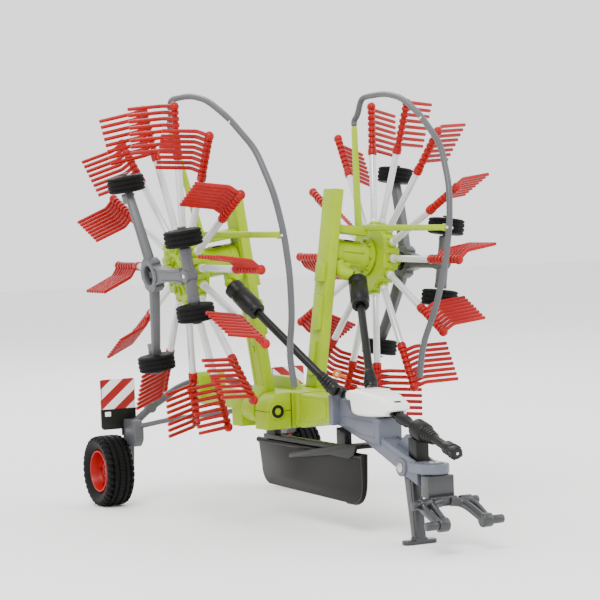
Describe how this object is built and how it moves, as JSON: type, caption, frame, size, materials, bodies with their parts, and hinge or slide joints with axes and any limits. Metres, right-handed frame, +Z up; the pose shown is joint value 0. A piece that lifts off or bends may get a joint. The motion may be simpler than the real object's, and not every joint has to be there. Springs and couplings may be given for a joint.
{
  "type": "toy rotary hay rake",
  "caption": "Toy scale model of a towed rotary hay rake, rotors folded up for the road, with spinning rotors, wheels, folding booms and stand.",
  "frame": {"origin": "middle of the whole model's box, at the floor", "axes": "+Z up, -Y towards the hitch, +X to the model's side that has the right rotor"},
  "size_m": [0.2312, 0.3796, 0.2834],
  "materials": {
    "lime_green": "satin",
    "grey_plastic": "satin",
    "blue_grey_plastic": "satin",
    "white_plastic": "gloss",
    "black_plastic": "satin",
    "black_rubber": "matte",
    "red_plastic": "satin",
    "zinc_metal": "satin"
  },
  "bodies": {
    "chassis": {"centre_frame": "lime_green", "drawbar": "blue_grey_plastic", "gearbox_cover": "white_plastic", "power_input": "black_plastic", "axle_beam": "grey_plastic", "curtain_bracket": "black_plastic", "swath_curtain": "black_plastic", "stand_pin": "zinc_metal", "hitch_pin": "zinc_metal", "left_sign": "white_plastic", "right_sign": "white_plastic"},
    "stand": {"stand": "grey_plastic"},
    "hitch": {"hitch": "grey_plastic"},
    "left_arm": {"left_boom": "lime_green", "left_rotor_housing": "lime_green", "left_carriage": "grey_plastic", "left_guard": "grey_plastic", "left_guard_stay": "lime_green"},
    "left_rotor": {"left_rotor_hub": "lime_green", "left_tine_arms": "red_plastic"},
    "left_drive_tube": {"left_drive_tube": "black_plastic"},
    "left_drive_rod": {"left_drive_rod": "black_plastic"},
    "left_road_wheel": {"left_tyre": "black_rubber", "left_rim": "red_plastic"},
    "left_rear_upper_wheel": {"left_rear_upper_wheel": "black_rubber"},
    "left_front_upper_wheel": {"left_front_upper_wheel": "black_rubber"},
    "left_front_lower_wheel": {"left_front_lower_wheel": "black_rubber"},
    "left_rear_lower_wheel": {"left_rear_lower_wheel": "black_rubber"},
    "right_arm": {"right_boom": "lime_green", "right_rotor_housing": "lime_green", "right_carriage": "grey_plastic", "right_guard": "grey_plastic", "right_guard_stay": "lime_green"},
    "right_rotor": {"right_rotor_hub": "lime_green", "right_tine_arms": "red_plastic"},
    "right_drive_tube": {"right_drive_tube": "black_plastic"},
    "right_drive_rod": {"right_drive_rod": "black_plastic"},
    "right_road_wheel": {"right_tyre": "black_rubber", "right_rim": "red_plastic"},
    "right_rear_upper_wheel": {"right_rear_upper_wheel": "black_rubber"},
    "right_front_upper_wheel": {"right_front_upper_wheel": "black_rubber"},
    "right_front_lower_wheel": {"right_front_lower_wheel": "black_rubber"},
    "right_rear_lower_wheel": {"right_rear_lower_wheel": "black_rubber"}
  },
  "joints": [
    {"name": "left_fold", "type": "hinge", "parent": "chassis", "child": "left_arm", "pos_m": [-0.025, 0.0338, 0.074], "axis": [0, -1, 0], "range_deg": [0, 82]},
    {"name": "left_rotor_spin", "type": "hinge", "parent": "left_arm", "child": "left_rotor", "pos_m": [-0.0717, 0.0338, 0.17], "axis": [0.9896, 0, 0.1438], "continuous": true},
    {"name": "left_rear_upper_wheel_spin", "type": "hinge", "parent": "left_arm", "child": "left_rear_upper_wheel", "pos_m": [-0.1026, 0.0548, 0.22614], "axis": [0.1438, 0, -0.9896], "continuous": true},
    {"name": "left_front_upper_wheel_spin", "type": "hinge", "parent": "left_arm", "child": "left_front_upper_wheel", "pos_m": [-0.09742, -0.0187, 0.19051], "axis": [0.1438, 0, -0.9896], "continuous": true},
    {"name": "left_front_lower_wheel_spin", "type": "hinge", "parent": "left_arm", "child": "left_front_lower_wheel", "pos_m": [-0.09051, -0.0187, 0.14301], "axis": [0.1438, 0, -0.9896], "continuous": true},
    {"name": "left_rear_lower_wheel_spin", "type": "hinge", "parent": "left_arm", "child": "left_rear_lower_wheel", "pos_m": [-0.08534, 0.0548, 0.10739], "axis": [0.1438, 0, -0.9896], "continuous": true},
    {"name": "left_drive_tilt", "type": "hinge", "parent": "left_arm", "child": "left_drive_tube", "pos_m": [-0.04825, 0.0178, 0.15886], "axis": [0.943, 0.1905, 0.273], "range_deg": [0, 9.16]},
    {"name": "left_drive_slide", "type": "slide", "parent": "left_drive_tube", "child": "left_drive_rod", "axis": [0.3253, -0.7014, -0.6342], "range_m": [0, 0.02094]},
    {"name": "left_road_wheel_spin", "type": "hinge", "parent": "chassis", "child": "left_road_wheel", "pos_m": [-0.077, 0.1648, 0.025], "axis": [1, 0, 0], "continuous": true},
    {"name": "right_fold", "type": "hinge", "parent": "chassis", "child": "right_arm", "pos_m": [0.025, 0.0338, 0.074], "axis": [0, 1, 0], "range_deg": [0, 82]},
    {"name": "right_rotor_spin", "type": "hinge", "parent": "right_arm", "child": "right_rotor", "pos_m": [0.0717, 0.0338, 0.17], "axis": [0.9896, 0, -0.1438], "continuous": true},
    {"name": "right_rear_upper_wheel_spin", "type": "hinge", "parent": "right_arm", "child": "right_rear_upper_wheel", "pos_m": [0.1026, 0.0548, 0.22614], "axis": [0.1438, 0, 0.9896], "continuous": true},
    {"name": "right_front_upper_wheel_spin", "type": "hinge", "parent": "right_arm", "child": "right_front_upper_wheel", "pos_m": [0.09742, -0.0187, 0.19051], "axis": [0.1438, 0, 0.9896], "continuous": true},
    {"name": "right_front_lower_wheel_spin", "type": "hinge", "parent": "right_arm", "child": "right_front_lower_wheel", "pos_m": [0.09051, -0.0187, 0.14301], "axis": [0.1438, 0, 0.9896], "continuous": true},
    {"name": "right_rear_lower_wheel_spin", "type": "hinge", "parent": "right_arm", "child": "right_rear_lower_wheel", "pos_m": [0.08534, 0.0548, 0.10739], "axis": [0.1438, 0, 0.9896], "continuous": true},
    {"name": "right_drive_tilt", "type": "hinge", "parent": "right_arm", "child": "right_drive_tube", "pos_m": [0.04825, 0.0178, 0.15886], "axis": [0.943, -0.1905, -0.273], "range_deg": [0, 9.16]},
    {"name": "right_drive_slide", "type": "slide", "parent": "right_drive_tube", "child": "right_drive_rod", "axis": [-0.3253, -0.7014, -0.6342], "range_m": [0, 0.02094]},
    {"name": "right_road_wheel_spin", "type": "hinge", "parent": "chassis", "child": "right_road_wheel", "pos_m": [0.077, 0.1648, 0.025], "axis": [1, 0, 0], "continuous": true},
    {"name": "stand_fold", "type": "hinge", "parent": "chassis", "child": "stand", "pos_m": [0, -0.1272, 0.047], "axis": [1, 0, 0], "range_deg": [0, 55]},
    {"name": "hitch_swing", "type": "hinge", "parent": "chassis", "child": "hitch", "pos_m": [0, -0.1532, 0.031], "axis": [0, 0, 1], "range_deg": [-40, 40]}
  ],
  "couplings": [
    {"joint": "left_drive_tilt", "follows": "left_fold", "ratio": 0.10801},
    {"joint": "left_drive_slide", "follows": "left_fold", "m_per_rad": 0.014419},
    {"joint": "right_drive_tilt", "follows": "right_fold", "ratio": 0.10801},
    {"joint": "right_drive_slide", "follows": "right_fold", "m_per_rad": 0.014419}
  ]
}
